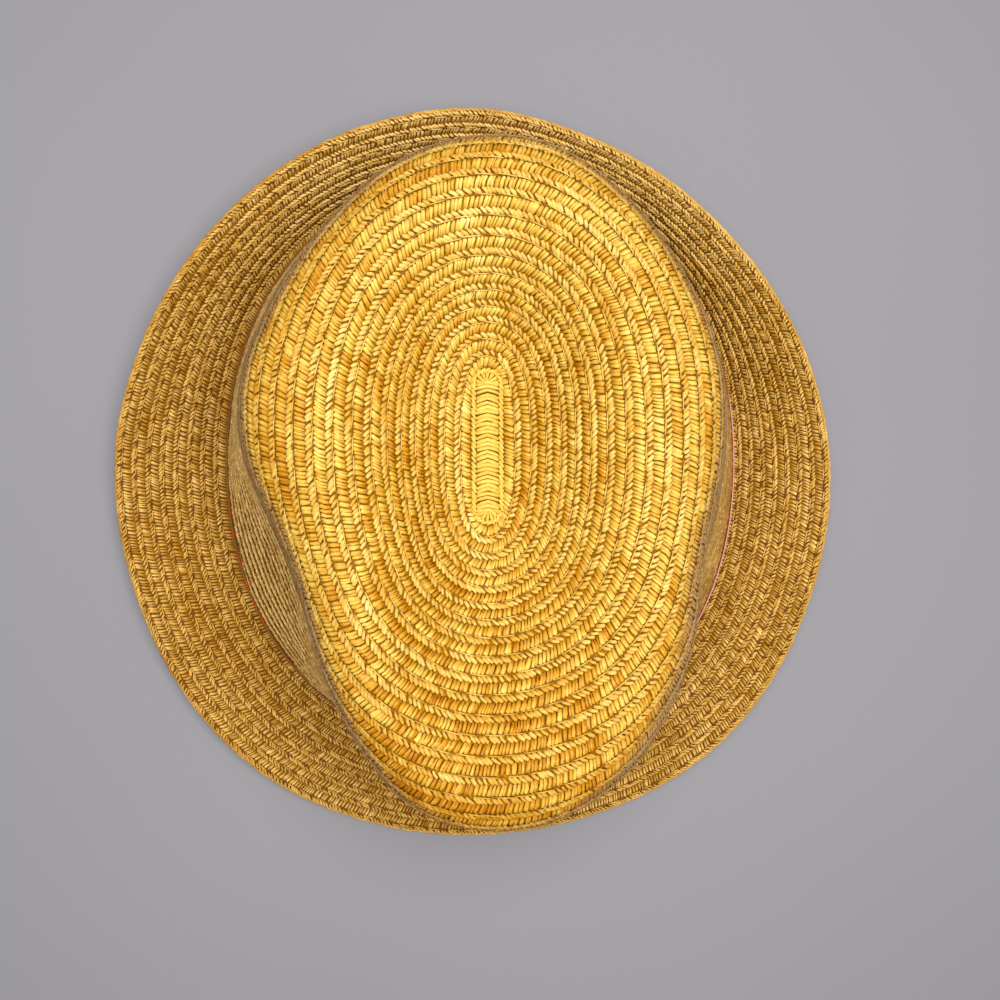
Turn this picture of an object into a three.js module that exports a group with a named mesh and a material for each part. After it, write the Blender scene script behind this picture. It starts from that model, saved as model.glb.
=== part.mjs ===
// A narrow-brimmed straw fedora: a teardrop crown with a dent and two front pinches,
// a short brim turned up at the back, and a ribbon band round the foot of the crown.
// Millimetres, +Z up. The front faces -Y and the wearer's left side is +X.
// The origin is on the table, below the middle of the hat's box.
import * as THREE from 'three';

// ---- Driving dimensions ----
const AROUND = 72; // stations round the hat, one each 5 degrees
const CROWN_WALL = 1.8; // thickness of the sewn straw braid
const BRIM_WALL = 2.0;
const BAND_WALL = 1.2;
const GAP = 0.3; // clearance between neighbouring pieces

// The foot of the crown is an oval with this outer size. It is modelled about x = 0, y = 0,
// and the whole hat is moved at the end.
const FOOT_HALF_WIDTH = 86;
const FOOT_HALF_LENGTH = 97.5;
const FOOT_POWER = 2.15; // a little squarer than an ellipse, which has 2
const FOOT_SEARCH_STEPS = 12;

// All angles are taken round the centre of the dent, from the front towards +X.
const DENT_CENTRE = { x: -1.8, y: 7.5 };
const DENT_FLOOR = 84; // height of the dent's floor at its centre
const DENT_FLOOR_RISE = 0.08; // the floor climbs this much for each mm towards the front
const STRIP_HALF_WIDTH = 4.7; // the flat strip in the middle of the dent
const STRIP_HALF_LENGTH = 22.3;
const STRIP_ROUNDNESS = 0.8; // exponent of the strip's oval, 1 for an ellipse

const ROLL_DROP = 14; // height lost while the crown rolls over from its crest to its side
const ROLL_END_LIMIT = 0.8; // the roll ends at least this steep, as the cosine of its last turn
const BAND_TOP = 21;
const PINCH_CURVE = 0.7; // how far a full pinch bends the side inwards, from 0 to 1
const TIP_RINGS = 13;
const TIP_RINGS_TO_CREST = 8;
const SIDE_HEIGHTS = [0.86, 0.7, 0.54, 0.38, 0.22, 0.1, 0]; // shares of the side above the band

// The crown's upper outline. reach: from the dent's centre to the widest line under the crest.
// crest: its height. share: how far out the crest lies. pinch: depth of the side's dent.
const CROWN_SECTIONS = [
  { angle: 0, reach: 104.1, crest: 110.0, share: 0.80, pinch: 0.0 },
  { angle: 11, reach: 103.1, crest: 109.5, share: 0.79, pinch: 0.0 },
  { angle: 22, reach: 98.0, crest: 108.0, share: 0.76, pinch: 0.2 },
  { angle: 34, reach: 88.9, crest: 106.5, share: 0.72, pinch: 0.6 },
  { angle: 46, reach: 78.9, crest: 105.5, share: 0.68, pinch: 0.8 },
  { angle: 58, reach: 69.6, crest: 105.0, share: 0.65, pinch: 0.5 },
  { angle: 72, reach: 64.9, crest: 104.5, share: 0.63, pinch: 0.1 },
  { angle: 92, reach: 65.3, crest: 104.0, share: 0.62, pinch: 0.0 },
  { angle: 110, reach: 68.3, crest: 103.0, share: 0.63, pinch: 0.0 },
  { angle: 130, reach: 72.0, crest: 101.5, share: 0.65, pinch: 0.0 },
  { angle: 150, reach: 78.3, crest: 100.0, share: 0.68, pinch: 0.0 },
  { angle: 168, reach: 84.4, crest: 99.0, share: 0.70, pinch: 0.0 },
  { angle: 182, reach: 84.6, crest: 99.0, share: 0.71, pinch: 0.0 },
  { angle: 198, reach: 81.0, crest: 99.5, share: 0.70, pinch: 0.0 },
  { angle: 216, reach: 74.5, crest: 100.5, share: 0.68, pinch: 0.0 },
  { angle: 236, reach: 70.0, crest: 102.0, share: 0.64, pinch: 0.0 },
  { angle: 255, reach: 68.8, crest: 103.0, share: 0.62, pinch: 0.0 },
  { angle: 270, reach: 66.1, crest: 104.0, share: 0.62, pinch: 0.2 },
  { angle: 284, reach: 62.4, crest: 104.5, share: 0.62, pinch: 0.7 },
  { angle: 297, reach: 61.6, crest: 105.0, share: 0.63, pinch: 1.0 },
  { angle: 310, reach: 65.7, crest: 105.5, share: 0.66, pinch: 1.0 },
  { angle: 323, reach: 75.5, crest: 106.5, share: 0.71, pinch: 0.8 },
  { angle: 336, reach: 88.1, crest: 108.0, share: 0.76, pinch: 0.4 },
  { angle: 348, reach: 99.8, crest: 109.5, share: 0.79, pinch: 0.0 },
];

// The brim. width: along the straw from the foot to the edge. turnUp: its mean slope in degrees.
// flare: how many degrees less steep it is at the edge than after the bend.
const BRIM_SECTIONS = [
  { angle: 0, width: 37.5, turnUp: 3, flare: 0 },
  { angle: 18, width: 36.5, turnUp: 8, flare: 0 },
  { angle: 40, width: 38.5, turnUp: 20, flare: 0 },
  { angle: 64, width: 39.5, turnUp: 28, flare: 0 },
  { angle: 85, width: 40.5, turnUp: 39, flare: 4 },
  { angle: 107, width: 39.5, turnUp: 54, flare: 14 },
  { angle: 134, width: 37, turnUp: 68, flare: 30 },
  { angle: 159, width: 37, turnUp: 72, flare: 38 },
  { angle: 179, width: 39, turnUp: 68, flare: 38 },
  { angle: 199, width: 38, turnUp: 65, flare: 34 },
  { angle: 225, width: 37.5, turnUp: 57, flare: 20 },
  { angle: 252, width: 39.5, turnUp: 42, flare: 4 },
  { angle: 275, width: 41.5, turnUp: 25, flare: 2 },
  { angle: 302, width: 40.5, turnUp: 18, flare: 0 },
  { angle: 326, width: 39.5, turnUp: 13, flare: 0 },
  { angle: 344, width: 37.5, turnUp: 8, flare: 0 },
];
const BRIM_FLAT = 2.5; // level ledge round the foot, before the brim bends
const BRIM_BEND = 6; // length of the bend, along the straw
const BEND_STEPS = 3; // stations in the bend
const SLOPE_STEPS = 5; // stations from the bend to the edge
const WALK_PARTS = 12; // short straight parts between two stations

const STRAW = new THREE.Color('#e0ab45');
const STRAW_BRIM = new THREE.Color('#b98a35');
const RIBBON = new THREE.Color('#b5402f');

// ---- Small helpers ----
const radians = THREE.MathUtils.degToRad;
const smoothstep = (t) => t * t * (3 - 2 * t);
const clamp01 = (t) => THREE.MathUtils.clamp(t, 0, 1);
const signedPower = (v, p) => Math.sign(v) * Math.abs(v) ** p;

// A smooth closed curve through one column of a table of sections.
function column(table, name) {
  const n = table.length;
  const at = (i) => {
    const turn = Math.floor(i / n);
    const row = table[i - turn * n];
    return { angle: row.angle + 360 * turn, value: row[name] };
  };
  const slope = (i) => (at(i + 1).value - at(i - 1).value) / (at(i + 1).angle - at(i - 1).angle);
  return (angle) => {
    let i = n - 1;
    while (table[i].angle > angle) i -= 1;
    const a = at(i);
    const b = at(i + 1);
    const step = b.angle - a.angle;
    const t = (angle - a.angle) / step;
    const rise = (t ** 3 - 2 * t ** 2 + t) * step * slope(i) + (t ** 3 - t ** 2) * step * slope(i + 1);
    return a.value + (b.value - a.value) * smoothstep(t) + rise;
  };
}

const crownReach = column(CROWN_SECTIONS, 'reach');
const crownCrest = column(CROWN_SECTIONS, 'crest');
const crownShare = column(CROWN_SECTIONS, 'share');
const crownPinch = column(CROWN_SECTIONS, 'pinch');
const brimWidth = column(BRIM_SECTIONS, 'width');
const brimTurnUp = column(BRIM_SECTIONS, 'turnUp');
const brimFlare = column(BRIM_SECTIONS, 'flare');

// How far (x, y) lies outside the foot oval, 0 on it, and how fast that grows along x and y.
function footOval(x, y) {
  const u = Math.abs(x) / FOOT_HALF_WIDTH;
  const v = Math.abs(y) / FOOT_HALF_LENGTH;
  const power = FOOT_POWER - 1;
  return {
    level: u ** FOOT_POWER + v ** FOOT_POWER - 1,
    growX: (FOOT_POWER * Math.sign(x) * u ** power) / FOOT_HALF_WIDTH,
    growY: (FOOT_POWER * Math.sign(y) * v ** power) / FOOT_HALF_LENGTH,
  };
}

// Distance from the dent's centre to the foot oval, towards (dx, dy), by Newton's method.
function footReach(dx, dy) {
  let reach = FOOT_HALF_LENGTH;
  for (let i = 0; i < FOOT_SEARCH_STEPS; i += 1) {
    const oval = footOval(DENT_CENTRE.x + reach * dx, DENT_CENTRE.y + reach * dy);
    reach -= oval.level / (oval.growX * dx + oval.growY * dy);
  }
  return reach;
}

// The point of the foot oval at an angle, and the way out from it.
function footStation(angle) {
  const dx = Math.sin(radians(angle));
  const dy = -Math.cos(radians(angle));
  const reach = footReach(dx, dy);
  const x = DENT_CENTRE.x + reach * dx;
  const y = DENT_CENTRE.y + reach * dy;
  const oval = footOval(x, y);
  const out = new THREE.Vector2(oval.growX, oval.growY).normalize();
  return { x, y, out };
}

const angles = Array.from({ length: AROUND }, (_, i) => (360 * i) / AROUND);

// ---- Crown ----
// One meridian of the crown's outer face: strip, dent, crest, roll, side, foot.
function crownMeridian(angle) {
  const dx = Math.sin(radians(angle));
  const dy = -Math.cos(radians(angle));
  const reach = crownReach(angle);
  const crest = crownCrest(angle);
  const share = crownShare(angle);
  const bend = PINCH_CURVE * clamp01(crownPinch(angle));
  const foot = footReach(dx, dy);
  const strip = {
    x: STRIP_HALF_WIDTH * signedPower(dx, STRIP_ROUNDNESS),
    y: STRIP_HALF_LENGTH * signedPower(dy, STRIP_ROUNDNESS),
  };
  const floor = DENT_FLOOR - DENT_FLOOR_RISE * strip.y;
  const shoulder = crest - ROLL_DROP;
  const sideHeight = shoulder - BAND_TOP;
  const points = [];
  const addTip = (out, z) => points.push(new THREE.Vector3(
    DENT_CENTRE.x + strip.x + (reach * dx - strip.x) * out,
    DENT_CENTRE.y + strip.y + (reach * dy - strip.y) * out,
    z,
  ));
  for (let i = 0; i < TIP_RINGS_TO_CREST; i += 1) {
    const t = i / TIP_RINGS_TO_CREST;
    addTip(share * t, floor + (crest - floor) * smoothstep(t));
  }
  // The roll is part of an ellipse that ends with the slope of the side below it.
  const lean = ((1 - bend) * (foot - reach)) / sideHeight;
  const ratio = clamp01((lean * ROLL_DROP) / (reach * (1 - share)));
  const end = Math.acos(Math.min(ratio / (1 - ratio), ROLL_END_LIMIT));
  for (let i = TIP_RINGS_TO_CREST; i <= TIP_RINGS; i += 1) {
    const turn = (end * (i - TIP_RINGS_TO_CREST)) / (TIP_RINGS - TIP_RINGS_TO_CREST);
    const out = share + ((1 - share) * Math.sin(turn)) / Math.sin(end);
    addTip(out, crest - (ROLL_DROP * (1 - Math.cos(turn))) / (1 - Math.cos(end)));
  }
  for (const height of SIDE_HEIGHTS) {
    const inward = (1 - bend) * height + bend * Math.sin((Math.PI / 2) * height);
    const r = foot + (reach - foot) * inward;
    points.push(new THREE.Vector3(
      DENT_CENTRE.x + r * dx,
      DENT_CENTRE.y + r * dy,
      BAND_TOP + sideHeight * height,
    ));
  }
  points.push(new THREE.Vector3(
    DENT_CENTRE.x + foot * dx,
    DENT_CENTRE.y + foot * dy,
    BRIM_WALL + GAP,
  ));
  return points;
}

// Faces between rings of points, with AROUND stations in each ring.
function addRings(indices, ringCount, first, flip) {
  const quad = (a, b, c, d) => {
    const faces = flip ? [a, c, b, a, d, c] : [a, b, c, a, c, d];
    indices.push(...faces);
  };
  for (let r = 0; r + 1 < ringCount; r += 1) {
    for (let s = 0; s < AROUND; s += 1) {
      const next = (s + 1) % AROUND;
      quad(
        first + r * AROUND + s,
        first + (r + 1) * AROUND + s,
        first + (r + 1) * AROUND + next,
        first + r * AROUND + next,
      );
    }
  }
}

// Faces inside the first ring. They join each station to its mirror image across the strip.
function addMiddle(indices, first, flip) {
  const triangle = (a, b, c) => indices.push(...(flip ? [a, c, b] : [a, b, c]).map((i) => first + i));
  const half = AROUND / 2;
  triangle(0, 1, AROUND - 1);
  for (let s = 1; s < half; s += 1) {
    const mirror = AROUND - s;
    triangle(s, s + 1, mirror);
    if (s + 1 < half) triangle(s + 1, mirror - 1, mirror);
  }
}

function geometryFrom(points, indices) {
  const geometry = new THREE.BufferGeometry();
  geometry.setFromPoints(points);
  geometry.setIndex(indices);
  geometry.computeVertexNormals();
  return geometry;
}

function crownGeometry() {
  const meridians = angles.map(crownMeridian);
  const ringCount = meridians[0].length;
  const outer = [];
  for (let r = 0; r < ringCount; r += 1) {
    for (const meridian of meridians) outer.push(meridian[r]);
  }
  const skinIndices = [];
  addRings(skinIndices, ringCount, 0, false);
  addMiddle(skinIndices, 0, false);
  const normals = geometryFrom(outer, skinIndices).getAttribute('normal');
  const lastRing = (ringCount - 1) * AROUND;
  const inner = outer.map((point, i) => {
    const normal = new THREE.Vector3().fromBufferAttribute(normals, i);
    if (i >= lastRing) normal.setZ(0).normalize();
    return point.clone().addScaledVector(normal, -CROWN_WALL);
  });
  const indices = [...skinIndices];
  addRings(indices, ringCount, outer.length, true);
  addMiddle(indices, outer.length, true);
  for (let s = 0; s < AROUND; s += 1) {
    const next = (s + 1) % AROUND;
    const a = lastRing + s;
    const b = lastRing + next;
    indices.push(a, a + outer.length, b + outer.length, a, b + outer.length, b);
  }
  return geometryFrom([...outer, ...inner], indices);
}

// ---- Brim ----
// Walks outwards along the top face of the brim, and returns reach, height and slope.
function brimPath(angle) {
  const width = brimWidth(angle);
  const turnUp = radians(brimTurnUp(angle));
  const flare = radians(brimFlare(angle));
  const bendEnd = BRIM_FLAT + BRIM_BEND;
  const slopeAt = (s) => {
    const bent = smoothstep(clamp01((s - BRIM_FLAT) / BRIM_BEND));
    return bent * (turnUp + flare * (0.5 - clamp01((s - bendEnd) / (width - bendEnd))));
  };
  const stops = [BRIM_FLAT];
  for (let i = 1; i <= BEND_STEPS; i += 1) stops.push(BRIM_FLAT + (BRIM_BEND * i) / BEND_STEPS);
  for (let i = 1; i <= SLOPE_STEPS; i += 1) stops.push(bendEnd + ((width - bendEnd) * i) / SLOPE_STEPS);
  const path = [{ reach: -CROWN_WALL, height: 0, slope: 0 }];
  let reach = BRIM_FLAT;
  let height = 0;
  let done = BRIM_FLAT;
  for (const stop of stops) {
    for (let k = 0; k < WALK_PARTS; k += 1) {
      const length = (stop - done) / WALK_PARTS;
      const slope = slopeAt(done + length * (k + 0.5));
      reach += length * Math.cos(slope);
      height += length * Math.sin(slope);
    }
    done = stop;
    path.push({ reach, height, slope: slopeAt(stop) });
  }
  return path;
}

// A closed loop of solid round the hat, from one section of corner points at each station.
function loopGeometry(sections) {
  const corners = sections[0].length;
  const indices = [];
  for (let s = 0; s < AROUND; s += 1) {
    const next = (s + 1) % AROUND;
    for (let c = 0; c < corners; c += 1) {
      const after = (c + 1) % corners;
      const a = s * corners + c;
      const b = s * corners + after;
      const d = next * corners + c;
      const e = next * corners + after;
      indices.push(a, b, e, a, e, d);
    }
  }
  return geometryFrom(sections.flat(), indices);
}

function brimGeometry() {
  const sections = angles.map((angle) => {
    const foot = footStation(angle);
    const at = (reach, z) => new THREE.Vector3(
      foot.x + foot.out.x * reach,
      foot.y + foot.out.y * reach,
      z,
    );
    const path = brimPath(angle);
    const top = path.map((p) => at(p.reach, BRIM_WALL + p.height));
    const under = path.map((p) => at(
      p.reach + BRIM_WALL * Math.sin(p.slope),
      BRIM_WALL + p.height - BRIM_WALL * Math.cos(p.slope),
    ));
    return [...top, ...under.reverse()];
  });
  return loopGeometry(sections);
}

// ---- Hat band ----
function bandGeometry() {
  const bottom = BRIM_WALL + GAP;
  const sections = angles.map((angle) => {
    const foot = footStation(angle);
    const at = (reach, z) => new THREE.Vector3(
      foot.x + foot.out.x * reach,
      foot.y + foot.out.y * reach,
      z,
    );
    return [
      at(GAP, bottom),
      at(GAP, BAND_TOP),
      at(GAP + BAND_WALL, BAND_TOP),
      at(GAP + BAND_WALL, bottom),
    ];
  });
  return loopGeometry(sections);
}

// ---- Assembly ----
function piece(name, geometry, color, roughness) {
  const material = new THREE.MeshStandardMaterial({ color, roughness, metalness: 0 });
  const mesh = new THREE.Mesh(geometry, material);
  mesh.name = name;
  return mesh;
}

const fedora = new THREE.Group();
fedora.add(piece('crown', crownGeometry(), STRAW, 0.6));
fedora.add(piece('brim', brimGeometry(), STRAW_BRIM, 0.65));
fedora.add(piece('hat_band', bandGeometry(), RIBBON, 0.7));

const middle = new THREE.Box3().setFromObject(fedora).getCenter(new THREE.Vector3());
fedora.position.set(-middle.x, -middle.y, 0);

export default fedora;
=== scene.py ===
"""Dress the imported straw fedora: sewn straw braid, woven ribbon, soft light, camera.

Lengths are in millimetres until a mesh is made, and the foot of the crown is round x = 0,
y = 0 until then. Angles go round the middle of the dent, from the front towards +X. The
floor, the light and the camera are in metres.
"""

import bpy
import numpy as np
from mathutils import Matrix, Vector


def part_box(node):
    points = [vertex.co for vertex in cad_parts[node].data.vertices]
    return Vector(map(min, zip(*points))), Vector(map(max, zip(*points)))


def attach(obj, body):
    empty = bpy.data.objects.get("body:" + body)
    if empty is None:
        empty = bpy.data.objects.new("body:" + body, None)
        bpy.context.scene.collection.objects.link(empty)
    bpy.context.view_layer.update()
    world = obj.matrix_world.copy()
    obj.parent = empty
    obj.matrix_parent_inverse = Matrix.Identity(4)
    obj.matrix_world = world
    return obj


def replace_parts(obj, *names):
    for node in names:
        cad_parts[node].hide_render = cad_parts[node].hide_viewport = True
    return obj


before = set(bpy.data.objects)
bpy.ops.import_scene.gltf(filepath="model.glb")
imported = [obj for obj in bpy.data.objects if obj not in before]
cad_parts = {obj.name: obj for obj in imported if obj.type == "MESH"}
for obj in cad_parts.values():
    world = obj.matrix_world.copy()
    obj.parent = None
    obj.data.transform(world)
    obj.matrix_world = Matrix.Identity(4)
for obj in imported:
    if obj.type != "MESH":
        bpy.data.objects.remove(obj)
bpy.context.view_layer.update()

MM = 0.001
rng = np.random.default_rng(57)

# ---- Shape of the hat: the same sections as the solids have ----
CROWN_WALL = 1.8
BRIM_WALL = 2.0
GAP = 0.3
FOOT = np.array((86.0, 97.5))  # half width and half length of the crown's foot
FOOT_POWER = 2.15  # a little squarer than an ellipse, which has 2
FOOT_SEARCH_STEPS = 12
DENT_CENTRE = np.array((-1.8, 7.5))
DENT_CENTRE_3D = np.append(DENT_CENTRE, 0)
DENT_FLOOR = 84.0
DENT_FLOOR_RISE = 0.08
STRIP = np.array((4.7, 22.3))  # half width and half length of the strip in the dent
STRIP_ROUNDNESS = 0.8
ROLL_DROP = 14.0
ROLL_END_LIMIT = 0.8
BAND_TOP = 21.0
PINCH_CURVE = 0.7

# angle, reach, crest, share, pinch
CROWN_SECTIONS = (
    (0, 104.1, 110, 0.8, 0),
    (11, 103.1, 109.5, 0.79, 0),
    (22, 98, 108, 0.76, 0.2),
    (34, 88.9, 106.5, 0.72, 0.6),
    (46, 78.9, 105.5, 0.68, 0.8),
    (58, 69.6, 105, 0.65, 0.5),
    (72, 64.9, 104.5, 0.63, 0.1),
    (92, 65.3, 104, 0.62, 0),
    (110, 68.3, 103, 0.63, 0),
    (130, 72, 101.5, 0.65, 0),
    (150, 78.3, 100, 0.68, 0),
    (168, 84.4, 99, 0.7, 0),
    (182, 84.6, 99, 0.71, 0),
    (198, 81, 99.5, 0.7, 0),
    (216, 74.5, 100.5, 0.68, 0),
    (236, 70, 102, 0.64, 0),
    (255, 68.8, 103, 0.62, 0),
    (270, 66.1, 104, 0.62, 0.2),
    (284, 62.4, 104.5, 0.62, 0.7),
    (297, 61.6, 105, 0.63, 1),
    (310, 65.7, 105.5, 0.66, 1),
    (323, 75.5, 106.5, 0.71, 0.8),
    (336, 88.1, 108, 0.76, 0.4),
    (348, 99.8, 109.5, 0.79, 0),
)

# angle, width, mean turn up, and how many degrees less steep the edge is than the bend
BRIM_SECTIONS = (
    (0, 37.5, 3, 0),
    (18, 36.5, 8, 0),
    (40, 38.5, 20, 0),
    (64, 39.5, 28, 0),
    (85, 40.5, 39, 4),
    (107, 39.5, 54, 14),
    (134, 37, 68, 30),
    (159, 37, 72, 38),
    (179, 39, 68, 38),
    (199, 38, 65, 34),
    (225, 37.5, 57, 20),
    (252, 39.5, 42, 4),
    (275, 41.5, 25, 2),
    (302, 40.5, 18, 0),
    (326, 39.5, 13, 0),
    (344, 37.5, 8, 0),
)
BRIM_FLAT = 2.5
BRIM_BEND = 6.0

# ---- Braid ----
# Rows go round the strip in the dent, and are numbered from it outwards.
INNER_ROWS = 6
INNER_ROW_WIDTH = 4.65
CREST_ROWS = 13  # from here on the rows share out what is left of each meridian
CREST_ROW_WIDTH = 5.25
FOOT_ROWS = 31.5  # rows down to the foot at the back
FRONT_ROWS = 4.0  # more than that at the front
BRIM_ROWS = 9
LAST_ROW = FOOT_ROWS + FRONT_ROWS
STATIONS = 720  # angles in the grid that places are read from
ROW_STEPS = 12  # grid lines in one row
# points of a line's stretches before it is cut into rows
DENT_POINTS = 120
CREST_POINTS = 60
SIDE_POINTS = 90
BRIM_POINTS = 160


def smoothstep(t):
    t = np.clip(t, 0, 1)
    return t * t * (3 - 2 * t)


def signed_power(value, power):
    return np.sign(value) * np.abs(value) ** power


def unit(vectors):
    return vectors / np.maximum(np.linalg.norm(vectors, axis=-1, keepdims=True), 1e-12)


def column(table, index, angle):
    """Read one column of a table of sections as a smooth closed curve."""
    knots = np.array([row[0] for row in table], float)
    values = np.array([row[index] for row in table], float)
    knots = np.concatenate([knots[-2:] - 360, knots, knots[:2] + 360])
    values = np.concatenate([values[-2:], values, values[:2]])
    slopes = np.zeros_like(values)
    slopes[1:-1] = (values[2:] - values[:-2]) / (knots[2:] - knots[:-2])
    i = np.searchsorted(knots, angle, side="right") - 1
    step = knots[i + 1] - knots[i]
    t = (angle - knots[i]) / step
    rise = (t**3 - 2 * t**2 + t) * step * slopes[i] + (t**3 - t**2) * step * slopes[i + 1]
    return values[i] + (values[i + 1] - values[i]) * smoothstep(t) + rise


def stations(count):
    return np.arange(count) * 360 / count


def direction(angle):
    return np.stack([np.sin(np.radians(angle)), -np.cos(np.radians(angle))], -1)


def foot_grow(place):
    """How fast the foot oval's level grows along x and y."""
    return FOOT_POWER * signed_power(place / FOOT, FOOT_POWER - 1) / FOOT


def foot_reach(heading):
    """Distance from the dent's centre to the foot oval, by Newton's method."""
    reach = np.full(heading.shape[:-1], FOOT[1])
    for _ in range(FOOT_SEARCH_STEPS):
        place = DENT_CENTRE + reach[..., None] * heading
        level = (np.abs(place / FOOT) ** FOOT_POWER).sum(-1) - 1
        reach = reach - level / (foot_grow(place) * heading).sum(-1)
    return reach


class Surface:
    """Points and normals over angle and row. Places between grid lines are interpolated."""

    def __init__(self, points, flip=False):
        around = np.roll(points, -1, axis=0) - np.roll(points, 1, axis=0)
        outward = np.gradient(points, axis=1)
        normals = unit(np.cross(outward, around))
        if flip:
            normals = -normals
        self.data = np.concatenate([points, normals], -1)

    def at(self, angle, row):
        count, lines = self.data.shape[:2]
        u = np.asarray(angle) / 360 * count
        v = np.clip(row * ROW_STEPS, 0, lines - 1.001)  # short of the last line
        i = np.floor(u).astype(int)
        j = np.floor(v).astype(int)
        a = (u - i)[..., None]
        b = (v - j)[..., None]
        i0 = i % count
        i1 = (i + 1) % count
        near = self.data[i0, j] * (1 - a) + self.data[i1, j] * a
        far = self.data[i0, j + 1] * (1 - a) + self.data[i1, j + 1] * a
        value = near * (1 - b) + far * b
        return value[..., :3], unit(value[..., 3:])


def resample(points, lengths):
    """Points at given lengths along each of many lines. points[line, step, xyz]."""
    steps = np.linalg.norm(np.diff(points, axis=1), axis=-1)
    run = np.concatenate([np.zeros((len(points), 1)), np.cumsum(steps, axis=1)], axis=1)
    out = np.empty(lengths.shape + (3,))
    for line in range(len(points)):
        for axis in range(3):
            out[line, :, axis] = np.interp(lengths[line], run[line], points[line, :, axis])
    return out


def line_length(points):
    return np.linalg.norm(np.diff(points, axis=1), axis=-1).sum(axis=1)


def foot_row(angle):
    """The row that reaches the foot. The crown is longest at the front."""
    return FOOT_ROWS + FRONT_ROWS * (0.5 + 0.5 * np.cos(np.radians(angle))) ** 2


def crown_surface():
    """The crown's outer face over angle and row."""
    angle = stations(STATIONS)
    heading = direction(angle)
    reach, crest, share, pinch = (column(CROWN_SECTIONS, i, angle)[:, None] for i in (1, 2, 3, 4))
    bend = PINCH_CURVE * np.clip(pinch, 0, 1)
    foot = foot_reach(heading)[:, None]
    strip = STRIP * signed_power(heading, STRIP_ROUNDNESS)
    floor = DENT_FLOOR - DENT_FLOOR_RISE * strip[:, 1:]
    side_height = crest - ROLL_DROP - BAND_TOP

    def tip_points(out, z):
        shift = reach[..., None] * heading[:, None] - strip[:, None]
        plan = DENT_CENTRE + strip[:, None] + shift * out[..., None]
        return np.concatenate([plan, np.broadcast_to(z, out.shape)[..., None]], -1)

    t = np.linspace(0, 1, DENT_POINTS)[None]
    dent = tip_points(share * t, floor + (crest - floor) * smoothstep(t))
    lean = (1 - bend) * (foot - reach) / side_height
    ratio = np.clip(lean * ROLL_DROP / (reach * (1 - share)), 0, 1)
    end = np.arccos(np.minimum(ratio / (1 - ratio), ROLL_END_LIMIT))
    turn = end * np.linspace(0, 1, CREST_POINTS)[None, 1:]
    roll = tip_points(
        share + (1 - share) * np.sin(turn) / np.sin(end),
        crest - ROLL_DROP * (1 - np.cos(turn)) / (1 - np.cos(end)),
    )
    tip = np.concatenate([dent, roll], axis=1)

    height = np.linspace(1, 0, SIDE_POINTS)[None]
    inward = (1 - bend) * height + bend * np.sin(np.pi / 2 * height)
    radius = foot + (reach - foot) * inward
    plan = DENT_CENTRE + radius[..., None] * heading[:, None]
    z = BAND_TOP + side_height * height
    side = np.concatenate([plan, z[..., None]], -1)
    low = side[:, -1:].copy()
    low[..., 2] = BRIM_WALL + GAP
    side = np.concatenate([side, low], axis=1)

    meridian = np.concatenate([tip, side[:, 1:]], axis=1)
    rows = np.arange(0, LAST_ROW + 0.01, 1 / ROW_STEPS)[None]
    whole = line_length(meridian)[:, None]
    inner = INNER_ROW_WIDTH * np.minimum(rows, INNER_ROWS)
    outer = CREST_ROW_WIDTH * np.clip(rows - INNER_ROWS, 0, CREST_ROWS - INNER_ROWS)
    at_crest = INNER_ROW_WIDTH * INNER_ROWS + CREST_ROW_WIDTH * (CREST_ROWS - INNER_ROWS)
    rest = (rows - CREST_ROWS) / (foot_row(angle)[:, None] - CREST_ROWS)
    lengths = inner + outer + (whole - at_crest) * np.clip(rest, 0, 1)
    return Surface(resample(meridian, lengths))


def brim_lines(drop):
    """Lines across the brim from the band to its edge, drop mm under the top face."""
    angle = stations(STATIONS)
    heading = direction(angle)
    reach = foot_reach(heading)[:, None]
    foot = DENT_CENTRE + reach * heading
    out = unit(foot_grow(foot))
    width = column(BRIM_SECTIONS, 1, angle)[:, None]
    turn_up = np.radians(column(BRIM_SECTIONS, 2, angle))[:, None]
    flare = np.radians(column(BRIM_SECTIONS, 3, angle))[:, None]
    s = GAP + (width - GAP) * np.linspace(0, 1, BRIM_POINTS)[None]
    bend_end = BRIM_FLAT + BRIM_BEND
    part = np.clip((s - bend_end) / (width - bend_end), 0, 1)
    slope = (turn_up + flare * (0.5 - part)) * smoothstep((s - BRIM_FLAT) / BRIM_BEND)
    middle = (slope[:, 1:] + slope[:, :-1]) / 2
    step = np.diff(s, axis=1)
    zero = np.zeros((STATIONS, 1))
    flat = np.concatenate([zero, np.cumsum(step * np.cos(middle), axis=1)], axis=1) + GAP
    rise = np.concatenate([zero, np.cumsum(step * np.sin(middle), axis=1)], axis=1)
    flat = flat + drop * np.sin(slope)
    rise = rise - drop * np.cos(slope) + BRIM_WALL
    plan = foot[:, None] + out[:, None] * flat[..., None]
    return np.concatenate([plan, rise[..., None]], -1)


def brim_surface(drop, flip):
    """One of the brim's faces over angle and row."""
    lines = brim_lines(drop)
    share_of = np.linspace(0, 1, BRIM_ROWS * ROW_STEPS + 1)[None]
    return Surface(resample(lines, line_length(lines)[:, None] * share_of), flip)


crown = crown_surface()
brim_top = brim_surface(0, flip=False)
brim_under = brim_surface(BRIM_WALL, flip=True)


# ---- Meshes ----
SHIFT = np.append(np.mean(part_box("hat_band"), axis=0)[:2], 0)  # the foot's middle, in metres


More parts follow.
